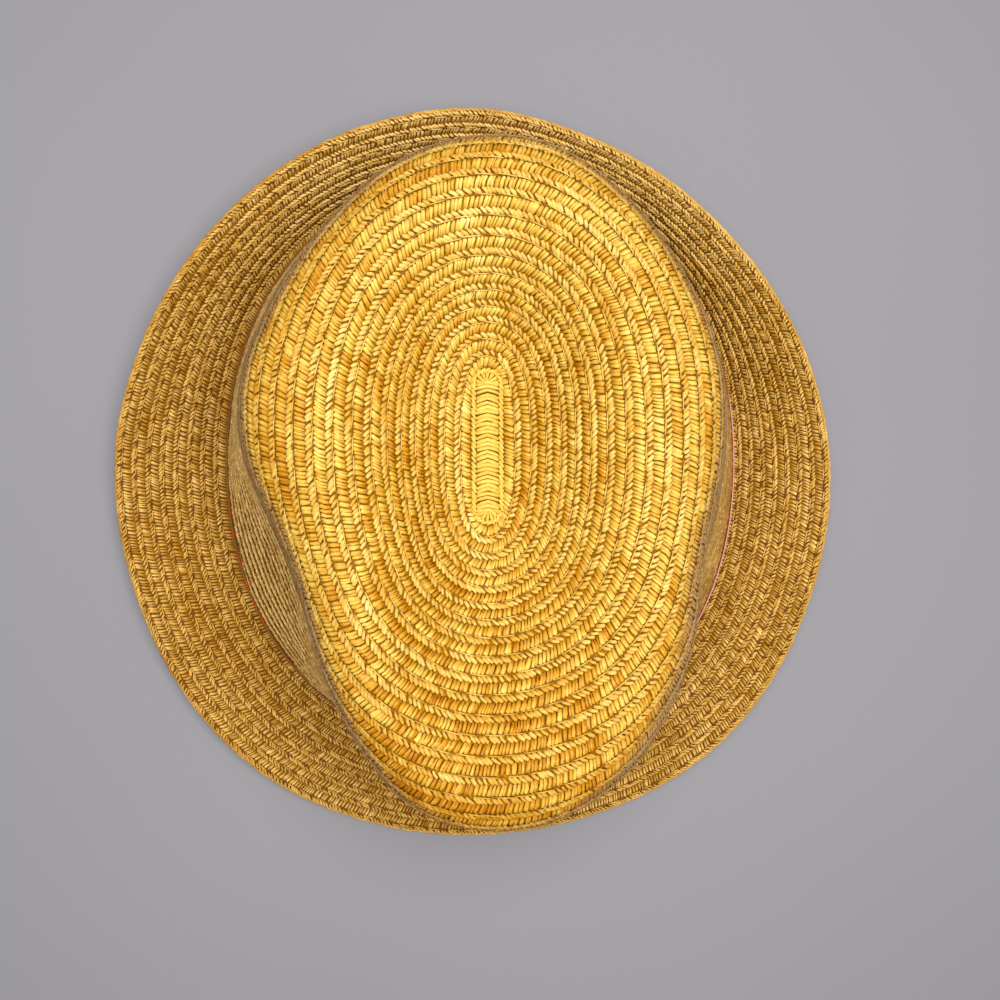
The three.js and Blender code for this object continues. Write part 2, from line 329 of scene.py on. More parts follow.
def make_piece(name, points, faces, material, values=(), uv=None):
    """Join rows of faces (arrays of 3 or 4 corner numbers) into one mesh object."""
    corners = np.concatenate([f.ravel() for f in faces])
    totals = np.concatenate([np.full(len(f), f.shape[1]) for f in faces])
    starts = np.concatenate([[0], np.cumsum(totals)[:-1]])
    mesh = bpy.data.meshes.new(name)
    mesh.vertices.add(len(points))
    mesh.vertices.foreach_set("co", (points * MM + SHIFT).astype(np.float32).ravel())
    mesh.loops.add(len(corners))
    mesh.loops.foreach_set("vertex_index", corners.astype(np.int32))
    mesh.polygons.add(len(totals))
    mesh.polygons.foreach_set("loop_start", starts.astype(np.int32))
    mesh.polygons.foreach_set("loop_total", totals.astype(np.int32))
    mesh.polygons.foreach_set("use_smooth", np.ones(len(totals), bool))
    for label, numbers in dict(values).items():
        layer = mesh.attributes.new(label, "FLOAT", "POINT")
        layer.data.foreach_set("value", numbers.astype(np.float32))
    if uv is not None:
        layer = mesh.uv_layers.new(name="fibre")
        layer.data.foreach_set("uv", uv[corners].astype(np.float32).ravel())
    mesh.update()
    mesh.validate()
    mesh.materials.append(material)
    piece = bpy.data.objects.new(name, mesh)
    bpy.context.scene.collection.objects.link(piece)
    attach(piece, "root")
    return piece


WALL_SLOPE = 0.70  # upright part of the normal where the painted shade of the crown's wall sets in
WALL_BLEND = 0.30  # how much less of it there is where they are full
WALL_RIGHT = 0.20  # added at the front towards +X, where the wall's painted shade reaches further in
WALL_RIGHT_X = 40.0  # how far to +X and to the front it is full
WALL_RIGHT_Y = 30.0
WALL_FRONT = 0.95  # they end where the normal's forward part is more than this
GREY_REFLECTION_FROM = 56.0  # height over which the wall gets a painted grey reflection
GREY_REFLECTION_BLEND = 24.0
FIBRE_SPREAD = 900.0  # a strand's fibres start at a seeded place in a pattern this wide
# painted shade: how far a strand's two long edges go to the gap's colour
RUNG_EDGE_SHADE = (0.18, 0.34)
ROPE_EDGE_SHADE = (0.08, 0.28)


def wall_shade_shares(spine, normal):
    """How far a strand has the wall's painted shade at each place, and how much painted grey
    reflection it has there.
    """
    right = np.clip(spine[..., 0] / WALL_RIGHT_X, 0, 1)
    ahead = np.clip(-spine[..., 1] / WALL_RIGHT_Y, 0, 1)
    slope = WALL_SLOPE + WALL_RIGHT * (right * ahead)
    wall = smoothstep((slope - normal[..., 2]) / WALL_BLEND)
    wall = wall * smoothstep((WALL_FRONT + normal[..., 1]) / WALL_BLEND)
    grey_reflection = wall * smoothstep((spine[..., 2] - GREY_REFLECTION_FROM) / GREY_REFLECTION_BLEND)
    return wall, grey_reflection


def strand_faces(rings, corners, sides):
    """Corner numbers of one strand: triangles at its two points, and quads between its rings."""
    here = np.arange(sides)
    after = (here + 1) % corners
    last = 1 + (rings - 1) * corners
    caps = [
        np.stack([0 * here, 1 + after, 1 + here], 1),
        np.stack([0 * here + last + corners, last + here, last + after], 1),
    ]
    quads = []
    for ring in range(rings - 1):
        a = 1 + ring * corners
        b = a + corners
        quads.append(np.stack([a + here, a + after, b + after, b + here], 1))
    return np.concatenate(caps), np.concatenate(quads)


class Strands:
    """Many small strands, pointed at both ends, that are joined into one piece."""

    def __init__(self, edge_shade, open_below=False):
        self.edge_shade = edge_shade
        self.open_below = open_below  # leaves out undersides that nothing sees
        self.points = []
        self.triangles = []
        self.quads = []
        self.values = {"tone": [], "depth": [], "wall": [], "grey_reflection": []}
        self.uv = []
        self.count = 0

    def add(self, spine, normal, half, thick, tone, depth, roll, section, lowest=-1.0):
        """Add the strands whose middle is over lowest. spine and normal[n, m, 3], roll[n, 1]."""
        n, m = spine.shape[:2]
        seen = spine[:, m // 2, 2] > lowest
        profile = (half, thick, tone, depth)
        half, thick, tone, depth = (np.broadcast_to(a, (n, m))[seen] for a in profile)
        spine, normal, roll = (a[seen] for a in (spine, normal, roll))
        n = len(spine)
        if n == 0:
            return
        k = len(section)
        tangent = unit(np.gradient(spine, axis=1))
        wall, grey_reflection = wall_shade_shares(spine, normal)
        across = unit(np.cross(normal, tangent))
        normal = unit(normal + across * roll[..., None])
        across = unit(np.cross(normal, tangent))
        inner = slice(1, m - 1)
        x, y = np.array(section).T
        ring = (
            spine[:, inner, None]
            + across[:, inner, None] * (half[:, inner, None] * x)[..., None]
            + normal[:, inner, None] * (thick[:, inner, None] * y)[..., None]
        )
        ring = ring.reshape(n, (m - 2) * k, 3)
        points = np.concatenate([spine[:, :1], ring, spine[:, -1:]], axis=1)
        per = points.shape[1]
        steps = np.linalg.norm(np.diff(spine, axis=1), axis=-1)
        along = np.concatenate([np.zeros((n, 1)), np.cumsum(steps, axis=1)], axis=1)
        offset = rng.random((n, 2)) * FIBRE_SPREAD
        u = np.zeros((n, per))
        v = np.zeros((n, per))
        u[:, 1:-1] = (half[:, inner, None] * x).reshape(n, -1)
        v[:, 1:-1] = np.repeat(along[:, inner], k, axis=1)
        v[:, -1] = along[:, -1]
        # painted shade along a strand's long edges, added to its depth
        edge = self.edge_shade[0] * (x == -1) + self.edge_shade[1] * (x == 1)
        for label, value in (("tone", tone), ("depth", depth), ("wall", wall), ("grey_reflection", grey_reflection)):
            middle = np.repeat(value[:, inner], k, axis=1)
            if label == "depth":
                middle = middle + np.tile(edge, m - 2)
            at_corners = np.concatenate([value[:, :1], middle, value[:, -1:]], axis=1)
            self.values[label].append(at_corners.ravel())
        caps, quads = strand_faces(m - 2, k, k - self.open_below)
        base = self.count + (np.arange(n) * per)[:, None, None]
        self.triangles.append((caps[None] + base).reshape(-1, 3))
        self.quads.append((quads[None] + base).reshape(-1, 4))
        self.points.append(points.reshape(-1, 3))
        self.uv.append(np.stack([u + offset[:, :1], v + offset[:, 1:]], -1).reshape(-1, 2))
        self.count += n * per

    def build(self, name, material):
        values = {label: np.concatenate(parts) for label, parts in self.values.items()}
        faces = [np.concatenate(self.triangles), np.concatenate(self.quads)]
        points = np.concatenate(self.points)
        return make_piece(name, points, faces, material, values, np.concatenate(self.uv))


# a strand's section: across and up, in half widths and thicknesses
ROUND = ((-1, -0.5), (0, 0.55), (1, -0.5))
FLAT = ((-1, -0.45), (-0.55, 0.42), (0.55, 0.42), (1, -0.45))


class Trail:
    """One closed row of braid, measured along its length from a seeded start."""

    MARGIN = 6.0  # degrees past each end
    BUNCH = 5.0  # length over which strands bunch and spread
    JITTER = 0.38  # how far apart two strands' places may shift, as a share of their pitch

    def __init__(self, surface, row, lowest=-1.0):
        self.surface = surface
        self.row = row
        self.lowest = lowest
        start = rng.random() * 360
        self.angle = start + np.linspace(-self.MARGIN, 360 + self.MARGIN, STATIONS)
        points, _ = surface.at(self.angle, row + 0.5)
        steps = np.linalg.norm(np.diff(points, axis=0), axis=-1)
        run = np.concatenate([[0], np.cumsum(steps)])
        self.run = run - np.interp(start, self.angle, run)
        self.length = np.interp(start + 360, self.angle, self.run)

    def at(self, run, share):
        """Points and normals at lengths along the row and shares across it."""
        return self.surface.at(np.interp(run, self.run, self.angle), self.row + share)

    def places(self, pitch, sway=0.0):
        """Lengths about a pitch apart. They bunch and spread by up to sway mm."""
        count = max(int(round(self.length / pitch)), 3)
        even = (np.arange(count) + 0.5) * self.length / count
        bunching = sway * patches(even, self.BUNCH, self.length)
        jitter = (rng.random(count) - 0.5) * self.JITTER * pitch
        return np.sort(even + bunching + jitter)


def patches(run, size, total):
    """A seeded value from -1 to 1 that changes along a closed row over about size mm."""
    count = max(int(total / size), 3)
    knots = rng.random(count) * 2 - 1
    return np.interp(run, np.arange(count) * total / count, knots, period=total)


def stagger(count, spread):
    """Seeded values round 0, spread wide, for one strand each."""
    return (rng.random((count, 1)) - 0.5) * spread


# What a row is made of, going outwards. Shares are of the row's width, the rest is mm.
CROWN_STYLE = dict(
    slant=1.05,
    base=-0.72,  # height of the ladder's inner end over the surface
    ladder_end=0.61,
    ladder_rise=0.40,
    rung_pitch=1.12,
    rung_thick=0.54,
    rung_cover=0.545,  # half of a rung's width, as a share of the room it has
    rung_tone=0.60,
    rope_share=0.82,
    rope_half_share=0.15,
    rope_height=0.30,
    lobe_pitch=1.40,
    lobe_reach=0.9,
    lobe_half=0.62,
    lobe_thick=0.50,
    rope_tone=0.62,
    stitch_pitch=6.1,
    stitch_reach=2.75,
    thread_half=0.18,
    thread_lift=0.34,
    hole_reach=0.7,
    hole_half=0.30,
    painted_slope_shade=0.36,  # painted shade: how much darker where it faces a side or the back
    painted_front_shade=0.34,  # painted shade: how much darker the front of the hat is
    painted_back_light=0.0,  # painted light: how much paler where it faces the front
    painted_right_light=0.0,  # painted light: how much paler the hat's +X side is; below 0 it is painted shade
)
PALEST_X = 0.11  # the normal's x where the painted slope shade is least
SIDE_LIMIT = 0.5  # part of the normal past which it gets no darker
BACK_WEIGHT = 0.6  # facing the back counts for this much of facing a side
FADE_FROM = 40.0  # how far in front of the middle the painted front shade begins, and its length
FADE_LENGTH = 60.0
GAIN_FROM = 0.5  # forward part of the normal where the painted back light begins, and its range
GAIN_RANGE = 0.4
RIGHT_FULL = 110.0  # x where the painted right light is full


def painted_shading(style, place, normal):
    """Painted light and shade over the hat: darker on slopes that face a side or the back and
    towards the front, paler where the style's painted back light and painted right light say.
    """
    side = np.clip(np.abs(normal[..., 0] - PALEST_X), 0, SIDE_LIMIT)
    side = side + BACK_WEIGHT * np.clip(normal[..., 1], 0, SIDE_LIMIT)
    fade = np.clip(-(place[..., 1] + FADE_FROM) / FADE_LENGTH, 0, 1)
    gain = np.clip((-normal[..., 1] - GAIN_FROM) / GAIN_RANGE, 0, 1)
    right = np.clip(place[..., 0] / RIGHT_FULL, 0, 1)
    paler = style["painted_back_light"] * gain + style["painted_right_light"] * right
    return paler - style["painted_slope_shade"] * side - style["painted_front_shade"] * fade


PUCKER = 0.9  # distance over which a hole's painted shade falls to about a third
NO_HOLES = np.array((-9.0, -8.0))  # before the start of any row


def near_hole(s, holes):
    """1 at a stitch hole, falling to 0 about 2 mm away from it."""
    after = np.clip(np.searchsorted(holes, s), 1, len(holes) - 1)
    gap = np.minimum(np.abs(s - holes[after]), np.abs(s - holes[after - 1]))
    return np.exp(-((gap / PUCKER) ** 2))


def columns(rows):
    """The columns of a table, each as one array."""
    return np.array(rows).T


# Five places along a strand, from its first end to its last.
# across, bow, tail, lift, half, taper, thick, tone, depth, pucker. The lower tone and the higher
# depth at the tucked ends are painted shade, and pucker weighs the painted shade round stitch
# holes.
RUNG = columns((
    (-0.5, -0.4, 0, -0.7, 0, 0, 0, -0.2, 0.8, 0),
    (-0.4, 0, 0, -0.1, 0.9, -0.7, 0.85, -0.12, 0.35, 0),
    (0, 1, 0, 0.62, 1, 0, 1, 0, 0, 0.1),
    (0.36, 0.2, 0.5, 1, 0.96, 0.7, 0.9, 0.08, 0, 0.7),
    (0.5, -0.5, 1, 0.55, 0, 0, 0, 0.02, 0.45, 0.55),
))
# along, across, lift, half, thick, tone, depth, pucker. The lower tone and the depth at the ends
# are painted shade where they tuck under.
LOBE = columns((
    (-1, -1.2, -0.9, 0, 0, -0.16, 0.55, 0.45),
    (-0.8, -1, 0.2, 0.95, 0.9, -0.02, 0.05, 0.9),
    (-0.1, 0, 1, 1, 1, 0, 0, 0.1),
    (0.8, 1, 0.4, 0.92, 0.9, 0.04, 0, 0),
    (1.3, 1.15, -0.8, 0, 0, -0.02, 0.3, 0),
))
# along, share of the row, lift, half, depth, which darkens the thread's ends as painted shade
THREAD = columns((
    (-1, -0.035, -0.6, 0, 1),
    (-0.8, -0.03, 0, 1, 0.2),
    (0, 0, 0.1, 1, 0),
    (0.8, 0.03, 0, 1, 0.2),
    (1, 0.035, -0.6, 0, 1),
))
# along, share of the row, lift, half
HOLE = columns((
    (-1, -0.03, 0, 0),
    (-0.7, -0.015, 0.12, 0.8),
    (0, 0, 0.16, 1),
    (0.7, 0.015, 0.12, 0.8),
    (1, 0.03, 0, 0),
))
LEAF_SHARE = 0.04  # a few wide rungs lie across their neighbours
ROPE_OVER = 0.34  # height of the rope over the ladder's inner end
HOLE_THICK = 0.2


def lay_rungs(trail, style, strands, section, holes):
    """The ladder: flat rungs across the row, tucked in under the rope of the row inside."""
    across, bow, tail, lift, half, taper, thick, tone, depth, pucker = RUNG
    s = trail.places(style["rung_pitch"], sway=1.2)
    n = len(s)
    room = np.clip(np.gradient(s), 0.7, 1.8)[:, None]
    leaf = (rng.random((n, 1)) < LEAF_SHARE) * 1.0
    end = style["ladder_end"]
    share = np.array((-0.08, 0.03, 0.32 * end / 0.6, 0.88 * end, end)) + stagger(n, 0.03)
    share[:, -1] += stagger(n, 0.06)[:, 0]
    slant = style["slant"] + 0.4 * patches(s, 9, trail.length)[:, None] + stagger(n, 0.3)
    slant = slant + 0.5 * leaf
    curl = 0.20 * patches(s, 12, trail.length)[:, None] + stagger(n, 0.16)
    hook = 0.65 * np.clip(patches(s, 14, trail.length) + 0.2, 0, 1)[:, None]
    run = s[:, None] - slant * across + curl * bow - hook * tail
    spine, normal = trail.at(run, share)
    lift = lift * style["ladder_rise"] + style["base"]
    spine = spine + normal * (lift + stagger(n, 0.18) + 0.1 * leaf)[..., None]
    spread = 1 + stagger(n, 0.20) + 0.5 * leaf + stagger(n, 0.7) * taper
    half = style["rung_cover"] * room * half * spread
    thick = style["rung_thick"] * thick
    group = 0.17 * patches(s, 4.5, trail.length) + 0.12 * patches(s, 26, trail.length)
    own = style["rung_tone"] + group[:, None] + stagger(n, 0.34) + 0.08 * leaf
    tone = own + tone + painted_shading(style, spine, normal)
    # painted shade in the pucker round each stitch hole
    depth = depth + near_hole(s, holes)[:, None] * pucker
    roll = 0.24 + stagger(n, 0.6)
    strands.add(spine, normal, half, thick, tone, depth, roll, section, trail.lowest)


def lay_rope(trail, style, strands, section, holes):
    """The rope edge: lobes that start across the row, then turn along its outer edge."""
    along, across, lift, half, thick, tone, depth, pucker = LOBE
    s = trail.places(style["lobe_pitch"], sway=0.7)
    n = len(s)
    share = style["rope_share"] + style["rope_half_share"] * across + stagger(n, 0.05)
    lean = style["lobe_reach"] * (1 + 0.3 * patches(s, 9, trail.length)[:, None] + stagger(n, 0.4))
    run = s[:, None] + lean * along
    spine, normal = trail.at(run, share)
    lift = lift * style["rope_height"] + style["base"] + ROPE_OVER
    spine = spine + normal * (lift + stagger(n, 0.22))[..., None]
    half = style["lobe_half"] * half * (1 + stagger(n, 0.4))
    thick = style["lobe_thick"] * thick
    group = 0.16 * patches(s, 5, trail.length) + 0.08 * patches(s, 30, trail.length)
    own = style["rope_tone"] + group[:, None] + stagger(n, 0.20)
    tone = own + tone + painted_shading(style, spine, normal)
    # painted shade in the pucker round each stitch hole
    depth = depth + near_hole(run[:, 1], holes)[:, None] * pucker
    roll = 0.16 + stagger(n, 0.24)
    strands.add(spine, normal, half, thick, tone, depth, roll, section, trail.lowest)


def lay_thread(trail, style, strands, s):
    """Sewing stitches in the groove between the ladder and the rope."""
    along, share, lift, half, depth = THREAD
    n = len(s)
    run = s[:, None] + style["stitch_reach"] * along * (1 + stagger(n, 0.12))
    share = style["ladder_end"] + 0.03 + share + stagger(n, 0.03)
    spine, normal = trail.at(run, share)
    lift = style["base"] + style["ladder_rise"] + lift
    spine = spine + normal * (lift + style["thread_lift"] + stagger(n, 0.2))[..., None]
    half = style["thread_half"] * half
    tone = style["rope_tone"] + 0.08 + stagger(n, 0.3) + painted_shading(style, spine, normal)
    # a random darkening of each stitch is added to the painted shade at its ends
    depth = depth + rng.random((n, 1)) * 0.25
    roll = np.zeros((n, 1))
    strands.add(spine, normal, half, 1.4 * half, tone, depth, roll, ROUND, trail.lowest)


def lay_holes(trail, style, strands, s):
    """Small dark strands in the stitch holes, mostly in the gap's colour: painted shade."""
    along, share, lift, half = HOLE
    n = len(s)
    size = 1 + stagger(n, 0.7)
    run = s[:, None] + style["hole_reach"] * size * along
    share = style["ladder_end"] + 0.02 + share + stagger(n, 0.05)
    spine, normal = trail.at(run, share)
    lift = style["base"] + style["ladder_rise"] + lift
    spine = spine + normal * (lift + stagger(n, 0.1))[..., None]
    half = style["hole_half"] * half * (1 + stagger(n, 0.5))
    roll = stagger(n, 0.3)
    strands.add(spine, normal, half, HOLE_THICK, 0.0, 1.0, roll, ROUND, trail.lowest)


def lay_braid(trail, style, ladder, rope, thread, section):
    """Add one row of braid: a ladder of rungs, a rope edge, and the sewing thread."""
    stitches = trail.places(style["stitch_pitch"], sway=0.6)
    holes = stitches + style["stitch_pitch"] / 2
    lay_rungs(trail, style, ladder, section, holes)
    lay_rope(trail, style, rope, section, holes)
    lay_thread(trail, style, thread, stitches)
    lay_holes(trail, style, thread, holes)


# ---- Materials ----
def linear(code):
    """A colour written as six hexadecimal digits, as linear light."""
    channels = [int(code[i : i + 2], 16) / 255 for i in (0, 2, 4)]
    return [c / 12.92 if c <= 0.04045 else ((c + 0.055) / 1.055) ** 2.4 for c in channels] + [1.0]


class Shader:
    """A small helper for one node material."""

    def __init__(self, name, roughness, specular):
        self.material = bpy.data.materials.new(name)
        self.material.use_nodes = True
        self.nodes = self.material.node_tree.nodes
        self.links = self.material.node_tree.links
        self.skin = self.nodes["Principled BSDF"]
        self.skin.inputs["Roughness"].default_value = roughness
        self.skin.inputs["Specular IOR Level"].default_value = specular

    def node(self, kind, **sockets):
        node = self.nodes.new(kind)
        for label, value in sockets.items():
            node.inputs[label].default_value = value
        return node

    def attribute(self, name):
        node = self.nodes.new("ShaderNodeAttribute")
        node.attribute_name = name
        return node.outputs["Fac"]

    def plug(self, sockets, values):
        """Link the values that are a node's output, and write down the others."""
        for socket, value in zip(sockets, values):
            if hasattr(value, "is_output"):
                self.links.new(value, socket)
            else:
                socket.default_value = value

    def math(self, operation, a, b):
        node = self.nodes.new("ShaderNodeMath")
        node.operation = operation
        self.plug(node.inputs, (a, b))
        return node.outputs[0]

    def ramp(self, factor, codes, first=0.0, last=1.0):
        """Colours at even steps of the factor, from first to last."""
        node = self.nodes.new("ShaderNodeValToRGB")
        elements = node.color_ramp.elements
        while len(elements) < len(codes):
            elements.new(0.5)
        for element, position, code in zip(elements, np.linspace(first, last, len(codes)), codes):
            element.position = position
            element.color = linear(code)
        self.links.new(factor, node.inputs[0])
        return node.outputs[0]

    def mix(self, factor, a, b):
        node = self.nodes.new("ShaderNodeMix")
        node.data_type = "RGBA"
        self.links.new(factor, node.inputs[0])
        self.plug(node.inputs[6:8], (a, b))  # the two sockets that take colours
        return node.outputs[2]

    def noise(self, scale, detail, source="Object", stretch=(1, 1, 1)):
        where = self.nodes.new("ShaderNodeTexCoord")
        placing = self.node("ShaderNodeMapping", Scale=stretch)
        noise = self.node("ShaderNodeTexNoise", Scale=scale, Detail=detail)
        self.links.new(where.outputs[source], placing.inputs["Vector"])
        self.links.new(placing.outputs[0], noise.inputs["Vector"])
        return noise.outputs["Fac"]

    def bump(self, height, strength, distance):
        node = self.node("ShaderNodeBump", Strength=strength, Distance=distance)
        self.links.new(height, node.inputs["Height"])
        self.links.new(node.outputs[0], self.skin.inputs["Normal"])

    def colour(self, socket):
        self.links.new(socket, self.skin.inputs["Base Color"])


# how much of the tone each noise makes up
STREAK_SHARE = 0.22  # fine fibres along a strand
CLOUD_SHARE = 0.16  # patches some centimetres wide
SPECK_SHARE = 0.5  # specks about a millimetre wide
GREY_REFLECTION_SHARE = 0.62  # how far the straw goes to the painted grey reflection's colour where it has the most of it
GREY_REFLECTION_COLOUR = "a6865a"
# how far painted shade goes to the gap's colour
PAINTED_SHADE_SHARE = 0.9


def straw(name, tones, gap, roughness, wall_shade_tones=None):
    """Glossy paper straw: a tone for each strand, fine lengthwise fibres, and painted shade at
    tucked ends, long edges and stitch holes.
    """
    shader = Shader(name, roughness, 0.16)
    streak = shader.noise(1.0, 3.0, "UV", (5.0, 0.7, 1.0))
    cloud = shader.noise(28.0, 2.0)
    speck = shader.noise(1100.0, 2.0)
    tone = shader.attribute("tone")
    for noise, share in ((streak, STREAK_SHARE), (cloud, CLOUD_SHARE), (speck, SPECK_SHARE)):
        tone = shader.math("ADD", tone, shader.math("MULTIPLY", noise, share))
    # the noises are 0.5 in the middle
    tone = shader.math("SUBTRACT", tone, (STREAK_SHARE + CLOUD_SHARE + SPECK_SHARE) / 2)
    colour = shader.ramp(tone, tones)
    if wall_shade_tones:
        # painted shade on the steep wall, then a painted grey reflection high on it
        colour = shader.mix(shader.attribute("wall"), colour, shader.ramp(tone, wall_shade_tones))
        grey_reflection = shader.math("MULTIPLY", shader.attribute("grey_reflection"), GREY_REFLECTION_SHARE)
        colour = shader.mix(grey_reflection, colour, linear(GREY_REFLECTION_COLOUR))
    # painted shade: the colour goes to the gap's colour
    depth = shader.math("MULTIPLY", shader.attribute("depth"), PAINTED_SHADE_SHARE)
    shader.colour(shader.mix(depth, colour, linear(gap)))
    shader.bump(streak, 0.5, 0.00012)
    return shader.material


# from the darkest to the palest
CROWN_TONES = ("965c00", "b27c1a", "be9232", "c8a444", "ceb052", "dac474")
ROPE_TONES = ("98600a", "ae7e20", "bc923a", "c8a44e", "d2b262", "dec67e")
# darker tones for the steep wall, mixed in by the wall attribute: painted shade
WALL_SHADE_TONES = ("4c2c00", "68440c", "886020", "aa803c", "cea662")
# the brim's straw: a darker copy of the crown's, as painted shade; its gap colours are darker too
BRIM_SHADED_TONES = ("704000", "96600c", "aa7a26", "bc903e", "cea250", "deb66a")
crown_ladder_skin = straw("crown_ladder_straw", CROWN_TONES, "8a5000", 0.42, WALL_SHADE_TONES)
crown_rope_skin = straw("crown_rope_straw", ROPE_TONES, "8e5404", 0.4, WALL_SHADE_TONES)
brim_ladder_skin = straw("brim_ladder_straw", BRIM_SHADED_TONES, "582600", 0.46)
brim_rope_skin = straw("brim_rope_straw", BRIM_SHADED_TONES, "582600", 0.44)
crown_thread_skin = straw("crown_sewing_thread", ROPE_TONES, "6e4a00", 0.6, WALL_SHADE_TONES)
brim_thread_skin = straw("brim_sewing_thread", BRIM_SHADED_TONES, "683400", 0.6)


def backing_material(name, dark, light):
    """The braid's underlayer, seen between strands and inside the hat."""
    shader = Shader(name, 0.7, 0.05)
    cloud = shader.math("MULTIPLY", shader.noise(60.0, 3.0), 0.6)
    weave = shader.noise(420.0, 2.0)
    tone = shader.math("ADD", cloud, shader.math("MULTIPLY", weave, 0.4))
    shader.colour(shader.ramp(tone, (dark, light), 0.3, 0.75))
    shader.bump(weave, 0.5, 0.0003)
    return shader.material


crown_backing = backing_material("crown_backing_straw", "885000", "ac7608")
# the brim's backing is a darker copy of the crown's: painted shade
brim_backing = backing_material("brim_backing_straw", "5c3400", "865806")


# ---- Crown braid ----
def ring_faces(rings, count, first=0, flip=False, closed=False):
    """Quads between rings of count points, and from the last ring to the first if closed."""
    here = np.arange(count)
    after = (here + 1) % count
    faces = []
    for ring in range(rings - 1 + closed):
        a = first + ring * count
        b = first + (ring + 1) % rings * count
        quad = np.stack([a + here, b + here, b + after, a + after], 1)
        faces.append(quad[:, ::-1] if flip else quad)
    return np.concatenate(faces)


def disc_faces(count, first, flip):
    """Faces inside the first ring, each station joined to its mirror image."""
    half = count // 2
    s = np.arange(1, half)
    mirror = count - s
    a = np.stack([s, s + 1, mirror], 1)
    b = np.stack([s[:-1] + 1, mirror[:-1] - 1, mirror[:-1]], 1)
    faces = np.concatenate([[[0, 1, count - 1]], a, b]) + first
    return faces[:, ::-1] if flip else faces


def wave(share):
    """Height of a row's own relief, 0 to 1, over its width."""
    return np.interp(share % 1, (0, 0.6, 0.8, 0.95, 1), (0.1, 0.5, 1.0, 0.7, 0.1))


SHELL_STATIONS = 120
SHELL_TIP = 0.4  # share of a face's rings that lie inside CREST_ROWS
SHELL_PLAIN = BAND_TOP - 4  # it has no relief lower than this
# rings, height over the surface, relief, turned inwards
SHELL_FACES = (
    (72, -1.2, 0.35, False),
    (144, -CROWN_WALL, -0.5, True),
)


def crown_shell():
    """The layer under the crown's braid and the crown's inside, joined at the foot."""
    count = SHELL_STATIONS
    angle = stations(count)
    points = []
    triangles = []
    quads = []
    last_rings = []
    first = 0
    for rings, drop, relief, inwards in SHELL_FACES:
        part = np.linspace(0, 1, rings)[:, None]
        tip_row = part / SHELL_TIP * CREST_ROWS
        side_share = (part - SHELL_TIP) / (1 - SHELL_TIP)
        side_row = CREST_ROWS + side_share * (foot_row(angle)[None] - CREST_ROWS)
        row = np.where(part < SHELL_TIP, tip_row, side_row)
        place, normal = crown.at(angle[None] + 0 * part, row)
        lift = np.where(place[..., 2] < SHELL_PLAIN, drop, drop + relief * wave(row))
        points.append((place + normal * lift[..., None]).reshape(-1, 3))
        triangles.append(disc_faces(count, first, inwards))
        quads.append(ring_faces(rings, count, first, inwards))
        first += rings * count
        last_rings.append(first - count + np.arange(count))
    outer, inner = last_rings
    quads.append(np.stack([outer, inner, np.roll(inner, -1), np.roll(outer, -1)], 1))
    faces = [np.concatenate(triangles), np.concatenate(quads)]
    return make_piece("crown_shell", np.concatenate(points), faces, crown_backing)


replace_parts(crown_shell(), "crown")

TIP_ROWS = 18  # the rows seen from above, in pieces of their own
SIDE_STYLE = dict(
    CROWN_STYLE,
    rung_pitch=1.2,
    rung_tone=0.26,
    rope_half_share=0.06,
    rope_height=0.50,
    lobe_pitch=1.7,
    lobe_reach=2.4,
    lobe_half=0.46,
    rope_tone=0.95,
    # the wall: no painted slope shade, some painted front shade, and painted shade on its +X side
    painted_slope_shade=0.0,
    painted_front_shade=0.25,
    painted_right_light=-0.30,
)


def crown_braid(rows, style, prefix, section):
    ladder = Strands(RUNG_EDGE_SHADE)
    rope = Strands(ROPE_EDGE_SHADE)
    thread = Strands(ROPE_EDGE_SHADE, open_below=True)
    for row in rows:
        lay_braid(Trail(crown, row, BAND_TOP - 2), style, ladder, rope, thread, section)
    ladder.build(prefix + "_ladder", crown_ladder_skin)
    rope.build(prefix + "_rope", crown_rope_skin)
    thread.build(prefix + "_thread", crown_thread_skin)


crown_braid(range(TIP_ROWS), CROWN_STYLE, "crown_tip", FLAT)
crown_braid(range(TIP_ROWS, int(LAST_ROW)), SIDE_STYLE, "crown_side", ROUND)


# ---- Strip in the middle of the dent ----
STRIP_ROPE = 3.85  # half the distance between the rope edges' middles
STRIP_STRAIGHT = 17.4  # half the length of their straight parts
STRIP_QUARTER = np.pi / 2 * STRIP_ROPE
STRIP_LAP = 4 * (STRIP_STRAIGHT + STRIP_QUARTER)
CHEVRON_PITCH = 1.15
CHEVRON_SPARE = 1.2  # how far the chevron goes past the straight parts
FAN_RUNGS = 7
STRIP_LOBE_PITCH = 1.35


def stadium(run, out):
    """Places at lengths along the strip's rope edge, out mm further out."""
    run = run % STRIP_LAP
    half = run >= STRIP_LAP / 2
    t = np.where(half, run - STRIP_LAP / 2, run)
    bend = np.clip((t - 2 * STRIP_STRAIGHT) / STRIP_ROPE, 0, np.pi)
    way = np.stack([np.cos(bend), -np.sin(bend)], -1)
    y = STRIP_STRAIGHT - np.minimum(t, 2 * STRIP_STRAIGHT)
    place = np.stack([np.zeros_like(y), y], -1) + way * (STRIP_ROPE + out)[..., None]
    return place * np.where(half, -1.0, 1.0)[..., None]


def strip_strands(strands, plan, lift, half, thick, tone, depth, roll):
    """Add strands that lie on the strip's floor."""
    place = plan + DENT_CENTRE
    z = DENT_FLOOR - DENT_FLOOR_RISE * plan[..., 1] + lift
    spine = np.concatenate([place, z[..., None]], -1)
    normal = unit(np.zeros_like(spine) + np.array((0, DENT_FLOOR_RISE, 1.0)))
    strands.add(spine, normal, half, thick, tone, depth, roll, FLAT)


